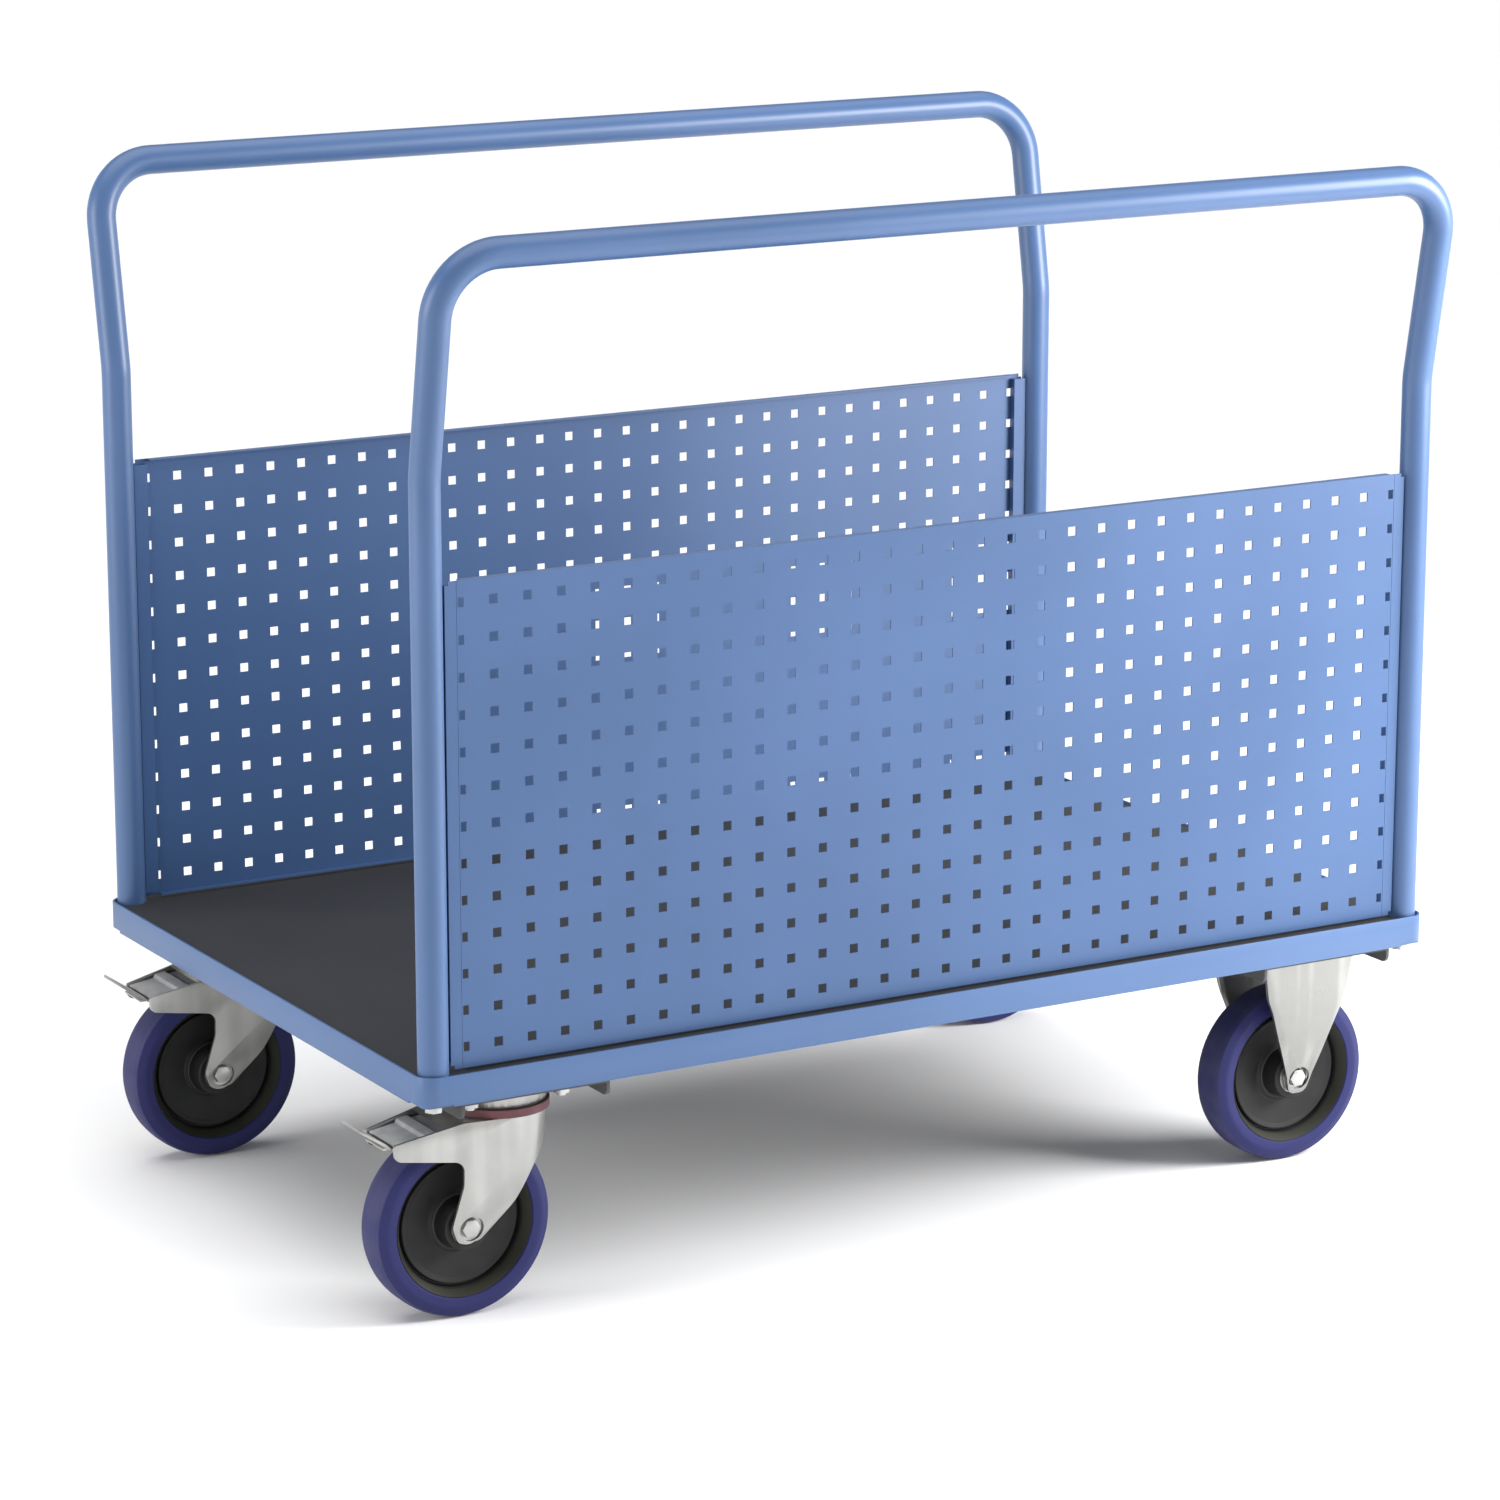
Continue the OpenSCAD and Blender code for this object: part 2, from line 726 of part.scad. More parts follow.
module axle_bolt(spot, is_swivel) {
    color("#d2d1cc") at_axle(spot, is_swivel) {
        rod_y(axle_d / 2, -dish_y, dish_y + 12);
        translate([0, -dish_y, 0]) rotate([90, 0, 0]) hexagon(axle_af, axle_head_h);
    }
}

module axle_nut(spot, is_swivel) {
    color("#d2d1cc") at_axle(spot, is_swivel) difference() {
        translate([0, dish_y, 0]) rotate([-90, 0, 0]) hexagon(axle_af, 9);
        rod_y(axle_d / 2 + run_gap, dish_y - 1, dish_y + 12);
    }
}

module axle_tube(spot, is_swivel) {
    color("#b9b9b6") at_axle(spot, is_swivel) translate([0, leg_in, 0]) rotate([90, 0, 0])
        ring(axle_tube_d / 2, axle_d / 2 + run_gap, fork_gap);
}

module bearings(spot, is_swivel) {
    color("#8f8f8c") at_axle(spot, is_swivel) for (s = [0, 1])
        mirror([0, s, 0]) translate([0, hub_l / 2 - 1, 0]) rotate([90, 0, 0])
            ring(bearing_d / 2 - run_gap, axle_tube_d / 2 + run_gap, bearing_w);
}

// Half sections in radius and width; the widths are half widths
core_lip_r = core_d / 2 - 7;
core_well_r = core_d / 2 - 11.5;
core_half_w = tyre_w / 2 - 2;
tread_half_w = 7; // flat middle of the tread

core_half = [
    [core_d / 2, core_half_w], [core_lip_r + 1, core_half_w], [core_lip_r, core_half_w - 1],
    [core_well_r + 1, web_t / 2 + 5], [core_well_r - 2, web_t / 2 + 2.5],
    [hub_d / 2 + 10, web_t / 2], [hub_d / 2 + 2, web_t / 2 + 1.5], [hub_d / 2, web_t / 2 + 5],
    [hub_d / 2 - 3, hub_l / 2 - 1], [hub_d / 2 - 4, hub_l / 2],
    [bearing_d / 2, hub_l / 2], [bearing_d / 2, hub_l / 2 - bearing_w - 1],
    [bearing_d / 2 - 3, hub_l / 2 - bearing_w - 1]
];

module wheel_core(spot, is_swivel) {
    color("#343434") at_axle(spot, is_swivel) rotate([90, 0, 0]) rotate_extrude()
        polygon([each core_half, for (i = [len(core_half) - 1 : -1 : 0]) [core_half[i][0], -core_half[i][1]]]);
}

function tyre_profile() =
    let (h = tyre_w / 2, r = wheel_r, c = core_d / 2 + run_gap)
    rounded([
        [c, -h + 1.5, 0.5], [r - 12, -h, 5], [r - 1.6, -h + 5, 6], [r, -tread_half_w, 20],
        [r, tread_half_w, 20], [r - 1.6, h - 5, 6], [r - 12, h, 5], [c, h - 1.5, 0.5]
    ]);

module tyre(spot, is_swivel) {
    color("#44457e") at_axle(spot, is_swivel) rotate([90, 0, 0]) rotate_extrude($fn = 128)
        polygon(tyre_profile());
}

// ---- Assembly ----

deck_rim();
deck_board();
cross_channel(-castor_x);  // channel_swivel
cross_channel(castor_x);  // channel_fixed
hoop(-1);  // hoop_front
hoop(1);  // hoop_rear
hoop_inserts();
hoop_bolts();
hoop_washers();
panel(-1);  // panel_front
panel(1);  // panel_rear
castor_studs();
castor_washers();
castor_nuts();
swivel_plate(SWIVEL_FRONT);  // swivel_plate_front
swivel_plate(SWIVEL_REAR);  // swivel_plate_rear
seal_ring(SWIVEL_FRONT);  // seal_ring_front
seal_ring(SWIVEL_REAR);  // seal_ring_rear
ball_ring(SWIVEL_FRONT);  // ball_ring_front
ball_ring(SWIVEL_REAR);  // ball_ring_rear
kingpin(SWIVEL_FRONT);  // kingpin_front
kingpin(SWIVEL_REAR);  // kingpin_rear
swivel_fork(SWIVEL_FRONT);  // swivel_fork_front
swivel_fork(SWIVEL_REAR);  // swivel_fork_rear
brake_cover(SWIVEL_FRONT);  // brake_cover_front
brake_cover(SWIVEL_REAR);  // brake_cover_rear
brake_pedal(SWIVEL_FRONT);  // brake_pedal_front
brake_pedal(SWIVEL_REAR);  // brake_pedal_rear
brake_shoe(SWIVEL_FRONT);  // brake_shoe_front
brake_shoe(SWIVEL_REAR);  // brake_shoe_rear
pedal_pin(SWIVEL_FRONT);  // pedal_pin_front
pedal_pin(SWIVEL_REAR);  // pedal_pin_rear
fixed_fork(FIXED_FRONT);  // fixed_fork_front
fixed_fork(FIXED_REAR);  // fixed_fork_rear
axle_bolt(SWIVEL_FRONT, true);  // axle_bolt_swivel_front
axle_bolt(SWIVEL_REAR, true);  // axle_bolt_swivel_rear
axle_bolt(FIXED_FRONT, false);  // axle_bolt_fixed_front
axle_bolt(FIXED_REAR, false);  // axle_bolt_fixed_rear
axle_nut(SWIVEL_FRONT, true);  // axle_nut_swivel_front
axle_nut(SWIVEL_REAR, true);  // axle_nut_swivel_rear
axle_nut(FIXED_FRONT, false);  // axle_nut_fixed_front
axle_nut(FIXED_REAR, false);  // axle_nut_fixed_rear
axle_tube(SWIVEL_FRONT, true);  // axle_tube_swivel_front
axle_tube(SWIVEL_REAR, true);  // axle_tube_swivel_rear
axle_tube(FIXED_FRONT, false);  // axle_tube_fixed_front
axle_tube(FIXED_REAR, false);  // axle_tube_fixed_rear
bearings(SWIVEL_FRONT, true);  // bearings_swivel_front
bearings(SWIVEL_REAR, true);  // bearings_swivel_rear
bearings(FIXED_FRONT, false);  // bearings_fixed_front
bearings(FIXED_REAR, false);  // bearings_fixed_rear
wheel_core(SWIVEL_FRONT, true);  // wheel_core_swivel_front
wheel_core(SWIVEL_REAR, true);  // wheel_core_swivel_rear
wheel_core(FIXED_FRONT, false);  // wheel_core_fixed_front
wheel_core(FIXED_REAR, false);  // wheel_core_fixed_rear
tyre(SWIVEL_FRONT, true);  // tyre_swivel_front
tyre(SWIVEL_REAR, true);  // tyre_swivel_rear
tyre(FIXED_FRONT, false);  // tyre_fixed_front
tyre(FIXED_REAR, false);  // tyre_fixed_rear
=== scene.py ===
"""Looks of a flatbed platform truck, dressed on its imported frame."""

import logging
import math
from collections.abc import Callable, Sequence
from dataclasses import dataclass, field
from enum import Enum

import bpy
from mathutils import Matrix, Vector

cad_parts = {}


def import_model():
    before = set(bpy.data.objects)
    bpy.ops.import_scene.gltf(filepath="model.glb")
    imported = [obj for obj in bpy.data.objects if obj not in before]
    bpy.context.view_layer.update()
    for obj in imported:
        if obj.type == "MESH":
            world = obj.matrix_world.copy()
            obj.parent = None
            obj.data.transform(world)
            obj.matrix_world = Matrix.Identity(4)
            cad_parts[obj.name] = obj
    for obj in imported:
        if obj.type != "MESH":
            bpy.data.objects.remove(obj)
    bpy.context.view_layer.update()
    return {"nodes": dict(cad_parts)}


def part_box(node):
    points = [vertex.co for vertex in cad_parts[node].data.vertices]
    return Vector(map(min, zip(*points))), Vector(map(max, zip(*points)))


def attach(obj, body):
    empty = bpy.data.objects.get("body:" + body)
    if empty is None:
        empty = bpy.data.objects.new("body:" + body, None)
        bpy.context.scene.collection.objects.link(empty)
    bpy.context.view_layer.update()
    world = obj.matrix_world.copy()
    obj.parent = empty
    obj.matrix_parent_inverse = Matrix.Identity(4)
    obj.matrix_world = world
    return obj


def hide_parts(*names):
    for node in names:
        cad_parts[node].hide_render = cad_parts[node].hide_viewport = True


LOG = logging.getLogger("platform_truck")
MM = 0.001
Point = tuple[float, float]
Point3 = tuple[float, float, float]
Colour = tuple[float, float, float]

# sockets of the Mix node when it mixes colours, and the Wave node's height output
MIX_FACTOR, MIX_FIRST, MIX_SECOND, MIX_RESULT = 0, 6, 7, 2
WAVE_HEIGHT = 1

# how close points are merged, in metres
MERGE_FINISHED = 1e-6
MERGE_TURNED = 2e-6
MERGE_PACKED = 2e-5
MERGE_MIRRORED = 1e-5

# the sharpest edge that stays smooth, in degrees
SMOOTH_SHEET = 34.0
SMOOTH_TURNED = 38.0
SMOOTH_TUBE = 50.0
SMOOTH_FASTENER = 25.0
FLAT_ENOUGH = 0.8


class Side(Enum):
    """The two long sides of the truck; the value is the sign of Y."""

    FRONT = -1
    REAR = 1

    @property
    def word(self) -> str:
        """The side's name as the nodes use it."""
        return self.name.lower()


class Castor(Enum):
    """The two kinds of castor."""

    SWIVEL = "swivel"
    FIXED = "fixed"


# ---------------------------------------------------------------- shaders


class Wire:
    """A shader value whose arithmetic adds Math nodes."""

    def __init__(self, recipe: "Recipe", socket: bpy.types.NodeSocket) -> None:
        """Wraps an output socket.

        Args:
            recipe: the material that the socket belongs to.
            socket: the output to carry on from.
        """
        self.recipe = recipe
        self.socket = socket

    def _math(self, operation: str, first: object, second: object) -> "Wire":
        """Adds one Math node.

        Args:
            operation: the Math node's operation.
            first: its first value or wire.
            second: its second value or wire.

        Returns:
            The node's result.
        """
        return self.recipe.node("Math", {"operation": operation}, {0: first, 1: second})

    def __add__(self, other: object) -> "Wire":
        """This plus other."""
        return self._math("ADD", self, other)

    __radd__ = __add__

    def __sub__(self, other: object) -> "Wire":
        """This minus other."""
        return self._math("SUBTRACT", self, other)

    def __rsub__(self, other: object) -> "Wire":
        """Other minus this."""
        return self._math("SUBTRACT", other, self)

    def __mul__(self, other: object) -> "Wire":
        """This times other."""
        return self._math("MULTIPLY", self, other)

    def above(self, edge: float, soft: float) -> "Wire":
        """A mask that rises from 0 to 1 round an edge.

        Args:
            edge: the value at which the mask is half.
            soft: the width of the rise.

        Returns:
            The mask.
        """
        settings = {"interpolation_type": "SMOOTHSTEP"}
        limits = {"Value": self, "From Min": edge - soft / 2, "From Max": edge + soft / 2}
        return self.recipe.node("MapRange", settings, limits)

    def band(self, low: float, high: float, soft: float) -> "Wire":
        """A mask that is 1 between two values.

        Args:
            low: where the band starts.
            high: where it ends.
            soft: the width of each edge.

        Returns:
            The mask.
        """
        return self.above(low, soft) * (1.0 - self.above(high, soft))


class Recipe:
    """One procedural material while it is being wired."""

    def __init__(self, name: str) -> None:
        """Starts a material that holds only its shader and output.

        Args:
            name: the material's name.
        """
        self.material = bpy.data.materials.new(name)
        self.material.use_nodes = True
        self.tree = self.material.node_tree
        self.shader = self.tree.nodes["Principled BSDF"]
        self.place = self.node("TexCoord", {}, {}, "Object")

    def node(
        self,
        kind: str,
        settings: dict[str, object],
        inputs: dict[int | str, object],
        output: int | str = 0,
    ) -> Wire:
        """Adds any node.

        Args:
            kind: the node's type without its ShaderNode prefix.
            settings: its properties, set before its sockets.
            inputs: a value or a wire for each socket.
            output: the result to carry on with.

        Returns:
            The chosen output.
        """
        made = self.tree.nodes.new("ShaderNode" + kind)
        for key, value in settings.items():
            setattr(made, key, value)
        for key, value in inputs.items():
            self.feed(made.inputs[key], value)
        return Wire(self, made.outputs[output])

    def feed(self, socket: bpy.types.NodeSocket, value: object) -> None:
        """Links a wire to a socket, or sets the socket's own value."""
        if isinstance(value, Wire):
            self.tree.links.new(value.socket, socket)
        else:
            socket.default_value = value

    def noise(self, per_metre: float, detail: float = 2.0, stretch: Colour = (1, 1, 1)) -> Wire:
        """Adds noise that is fixed to the piece.

        Args:
            per_metre: how many cells lie along a metre.
            detail: how many finer layers it has.
            stretch: how much closer the cells lie along each axis.

        Returns:
            A value round 0.5.
        """
        spread = self.node("Mapping", {}, {"Vector": self.place, "Scale": stretch})
        return self.node("TexNoise", {}, {"Vector": spread, "Scale": per_metre, "Detail": detail})

    def blend(self, mask: Wire, first: Colour | Wire, second: Colour | Wire) -> Wire:
        """Mixes two colours.

        Args:
            mask: 0 gives the first colour and 1 the second.
            first: the colour where the mask is 0.
            second: the colour where the mask is 1.

        Returns:
            The mixed colour.
        """
        made = self.tree.nodes.new("ShaderNodeMix")
        made.data_type = "RGBA"
        self.feed(made.inputs[MIX_FACTOR], mask)
        for index, colour in ((MIX_FIRST, first), (MIX_SECOND, second)):
            self.feed(made.inputs[index], colour if isinstance(colour, Wire) else (*colour, 1.0))
        return Wire(self, made.outputs[MIX_RESULT])

    def relief(self, height: Wire, depth: float, strength: float = 1.0) -> None:
        """Raises the surface by a height.

        Args:
            height: a value from 0 to 1.
            depth: how far 1 stands above 0, in metres.
            strength: how much of the relief shows.
        """
        inputs = {"Height": height, "Distance": depth, "Strength": strength}
        self.feed(self.shader.inputs["Normal"], self.node("Bump", {}, inputs))

    def set(self, **sockets: object) -> None:
        """Sets the shader's sockets; a name's underscores stand for spaces."""
        for name, value in sockets.items():
            if isinstance(value, tuple) and len(value) == 3:
                value = (*value, 1.0)
            self.feed(self.shader.inputs[name.replace("_", " ")], value)


# ---------------------------------------------------------------- finishes


@dataclass(frozen=True)
class PowderCoat:
    """Satin powder coat with its fine orange peel."""

    name: str
    colour: Colour
    roughness: float = 0.42

    def build(self) -> bpy.types.Material:
        """Wires the coat."""
        r = Recipe(self.name)
        cloud = r.noise(3.2, 3.0)
        peel = r.noise(620.0, 2.0)
        grain = r.noise(1900.0, 1.0)
        deep = tuple(c * 0.93 for c in self.colour)
        pale = tuple(min(1.0, c * 1.05 + 0.004) for c in self.colour)
        r.set(
            Base_Color=r.blend(cloud.above(0.5, 0.5), deep, pale),
            Roughness=self.roughness + (cloud - 0.5) * 0.10 + (grain - 0.5) * 0.06,
            Coat_Weight=0.12 + (cloud - 0.5) * 0.05,
            Coat_Roughness=0.28,
        )
        r.relief(peel * 0.7 + grain * 0.3, 0.00006, 0.35)
        return r.material


@dataclass(frozen=True)
class DeckCovering:
    """Matt anthracite covering with a fine non-slip grain."""

    name: str = "deck_covering"
    colour: Colour = (0.021, 0.0215, 0.0235)
    speckle: Colour = (0.055, 0.055, 0.058)

    def build(self) -> bpy.types.Material:
        """Wires the covering."""
        r = Recipe(self.name)
        cloud = r.noise(5.0, 4.0)
        pebbles = r.node(
            "TexVoronoi",
            {"feature": "SMOOTH_F1"},
            {"Vector": r.place, "Scale": 520.0, "Smoothness": 0.6},
            "Distance",
        )
        speck = r.noise(1400.0, 2.0).above(0.66, 0.1)
        pale = tuple(c * 1.35 for c in self.colour)
        worn = r.blend(cloud.above(0.5, 0.6), self.colour, pale)
        r.set(
            Base_Color=r.blend(speck * 0.35, worn, self.speckle),
            Roughness=0.66 + (cloud - 0.5) * 0.16,
            Specular_IOR_Level=0.35,
        )
        r.relief(1.0 - pebbles, 0.00025, 0.5)
        return r.material


@dataclass(frozen=True)
class ChannelPaint:
    """Dark grey paint on folded sheet."""

    name: str = "channel_paint"
    colour: Colour = (0.052, 0.052, 0.053)

    def build(self) -> bpy.types.Material:
        """Wires the paint."""
        r = Recipe(self.name)
        cloud = r.noise(9.0, 3.0)
        grain = r.noise(900.0, 2.0)
        pale = tuple(c * 1.3 for c in self.colour)
        r.set(
            Base_Color=r.blend(cloud.above(0.5, 0.5), self.colour, pale),
            Roughness=0.52 + (grain - 0.5) * 0.14,
        )
        r.relief(grain, 0.00005, 0.5)
        return r.material


@dataclass(frozen=True)
class ZincPlate:
    """Zinc plated steel: pale, soft in gloss, with faint drawing marks and stripes of painted reflection.

    Attributes:
        marks: how much closer the drawing marks lie along each axis.
        depth: how deep the marks are, in metres.
        painted_reflection_strength: how strongly the painted reflection runs down the sheet, as lighter and
            darker stripes that stand in for the studio reflected in the zinc.
    """

    name: str
    colour: Colour = (0.43, 0.428, 0.412)
    roughness: float = 0.34
    metallic: float = 0.9
    marks: Colour = (1.0, 1.0, 0.12)
    depth: float = 0.00003
    painted_reflection_strength: float = 0.5

    def build(self) -> bpy.types.Material:
        """Wires the plating."""
        r = Recipe(self.name)
        cloud = r.noise(22.0, 3.0)
        drawn = r.noise(420.0, 3.0, self.marks)
        # painted reflection: soft lighter and darker stripes down the sheet that stand in for the studio
        # reflected in the zinc
        painted_reflection_bands = r.noise(52.0, 1.0, (1.0, 1.0, 0.04))
        dull = tuple(c * 0.84 for c in self.colour)
        pale = tuple(min(1.0, c * 1.16) for c in self.colour)
        # random tone plus the painted reflection stripes
        tone_and_painted_reflection = (painted_reflection_bands.above(0.52, 0.30) - 0.5) * self.painted_reflection_strength + cloud
        r.set(
            Base_Color=r.blend(tone_and_painted_reflection, dull, pale),
            Metallic=self.metallic,
            Roughness=self.roughness + (drawn - 0.5) * 0.12 + (cloud - 0.5) * 0.08,
        )
        r.relief(drawn, self.depth, 0.4)
        return r.material


@dataclass(frozen=True)
class SealPlastic:
    """Dark red moulded seal of the swivel head."""

    name: str = "seal_plastic"
    colour: Colour = (0.105, 0.030, 0.038)

    def build(self) -> bpy.types.Material:
        """Wires the seal."""
        r = Recipe(self.name)
        grain = r.noise(700.0, 2.0)
        cloud = r.noise(60.0, 2.0)
        pale = tuple(c * 1.4 for c in self.colour)
        r.set(
            Base_Color=r.blend(cloud.above(0.5, 0.6), self.colour, pale),
            Roughness=0.5 + (grain - 0.5) * 0.2,
        )
        r.relief(grain, 0.00005, 0.4)
        return r.material


@dataclass(frozen=True)
class WheelSpot:
    """Where a kind's wheels turn: their axles lie along Y at this X and Z."""

    x: float
    z: float

    def radius(self, r: Recipe) -> Wire:
        """The distance from the axle.

        Args:
            r: the material being wired.

        Returns:
            The distance in metres.
        """
        off = r.node("VectorMath", {"operation": "SUBTRACT"}, {0: r.place, 1: (self.x, 0, self.z)})
        flat = r.node("VectorMath", {"operation": "MULTIPLY"}, {0: off, 1: (1, 0, 1)})
        return r.node("VectorMath", {"operation": "LENGTH"}, {0: flat}, "Value")


@dataclass(frozen=True)
class TyreRubber:
    """Blue elastic rubber: clean flanks and a tread that has rolled."""

    name: str
    spot: WheelSpot
    flank: Colour = (0.021, 0.023, 0.104)
    tread: Colour = (0.032, 0.034, 0.110)
    dusty: Colour = (0.11, 0.11, 0.15)
    tread_edge: float = 97.2 * MM

    def build(self) -> bpy.types.Material:
        """Wires the rubber."""
        r = Recipe(self.name)
        radius = self.spot.radius(r)
        rolled = radius.above(self.tread_edge, 1.8 * MM)
        cloud = r.noise(40.0, 4.0)
        fine = r.noise(950.0, 2.0)
        dust = rolled * cloud.above(0.48, 0.3) * 0.15
        base = r.blend(rolled, self.flank, self.tread)
        centred = r.node("Mapping", {}, {"Vector": r.place, "Location": self.centre()})
        mould = r.node(
            "TexWave",
            {"wave_type": "RINGS", "rings_direction": "Y"},
            {"Vector": centred, "Scale": 110.0, "Distortion": 0.3},
            WAVE_HEIGHT,
        )
        r.set(
            Base_Color=r.blend(dust, base, self.dusty),
            Roughness=0.56 + (cloud - 0.5) * 0.12 + rolled * 0.10,
            Specular_IOR_Level=0.22,
        )
        r.relief(fine * 0.6 + (1.0 - rolled) * mould * 0.4, 0.00010, 0.45)
        return r.material

    def centre(self) -> Colour:
        """The shift that brings the axle to the pattern's middle."""
        return (-self.spot.x, 0.0, -self.spot.z)


@dataclass(frozen=True)
class CorePlastic:
    """Black moulded wheel core with the olive tinted lip of its bond."""

    name: str
    spot: WheelSpot
    colour: Colour = (0.015, 0.015, 0.015)
    lip: Colour = (0.026, 0.027, 0.019)
    # colour of the pale line painted round the hub's edge
    hub_line_colour: Colour = (0.16, 0.16, 0.155)
    lip_edge: float = 71.2 * MM
    hub_line: Point = (29.0 * MM, 29.6 * MM)

    def build(self) -> bpy.types.Material:
        """Wires the plastic."""
        r = Recipe(self.name)
        radius = self.spot.radius(r)
        lip = radius.above(self.lip_edge, 0.8 * MM)
        # a pale line painted round the hub's edge, 29 to 29.6 mm from the axle
        line = radius.band(*self.hub_line, 0.4 * MM)
        cloud = r.noise(45.0, 3.0)
        grain = r.noise(800.0, 2.0)
        worn = r.blend(cloud.above(0.5, 0.6), self.colour, tuple(c * 1.45 for c in self.colour))
        rim = r.blend(lip, worn, self.lip)
        r.set(
            Base_Color=r.blend(line * 0.5, rim, self.hub_line_colour),
            Roughness=0.50 + (grain - 0.5) * 0.16 + (cloud - 0.5) * 0.1,
            Specular_IOR_Level=0.25,
        )
        r.relief(grain, 0.00006, 0.5)
        return r.material


@dataclass(frozen=True)
class StudioPaper:
    """Pale paper of the studio floor."""

    name: str = "studio_paper"
    dull: Colour = (0.90, 0.90, 0.90)
    pale: Colour = (0.93, 0.93, 0.93)

    def build(self) -> bpy.types.Material:
        """Wires the paper."""
        r = Recipe(self.name)
        cloud = r.noise(1.5, 2.0)
        r.set(Base_Color=r.blend(cloud, self.dull, self.pale), Roughness=0.9)
        return r.material


# ---------------------------------------------------------------- modelling


def corner(before: Point, at: Point3, after: Point, steps: int) -> list[Point]:
    """Rounds one corner of an outline.

    Args:
        before: the outline's point before the corner.
        at: the corner and its radius.
        after: the outline's point after the corner.
        steps: how many lengths the arc has.

    Returns:
        The points of the arc, or the corner itself where its radius is 0.
    """
    here = Vector(at[:2])
    if at[2] <= 0:
        return [(here.x, here.y)]
    u = (Vector(before) - here).normalized()
    v = (Vector(after) - here).normalized()
    half = math.acos(max(-1.0, min(1.0, u.dot(v)))) / 2
    centre = here + (u + v).normalized() * (at[2] / math.sin(half))
    start = here + u * (at[2] / math.tan(half)) - centre
    end = here + v * (at[2] / math.tan(half)) - centre
    first = math.atan2(start.y, start.x)
    turn = (math.atan2(end.y, end.x) - first + math.pi) % (2 * math.pi) - math.pi
    angles = [first + turn * i / steps for i in range(steps + 1)]
    return [(centre.x + at[2] * math.cos(a), centre.y + at[2] * math.sin(a)) for a in angles]


def rounded(outline: Sequence[Point3], steps: int = 4) -> list[Point]:
    """Rounds every corner of a closed outline.

    Args:
        outline: its corners, each with a radius.
        steps: how many lengths each arc has.

    Returns:
        The rounded outline.
    """
    count = len(outline)
    points: list[Point] = []
    for i, at in enumerate(outline):
        before, after = outline[i - 1][:2], outline[(i + 1) % count][:2]
        points += corner(before, at, after, steps)
    return points


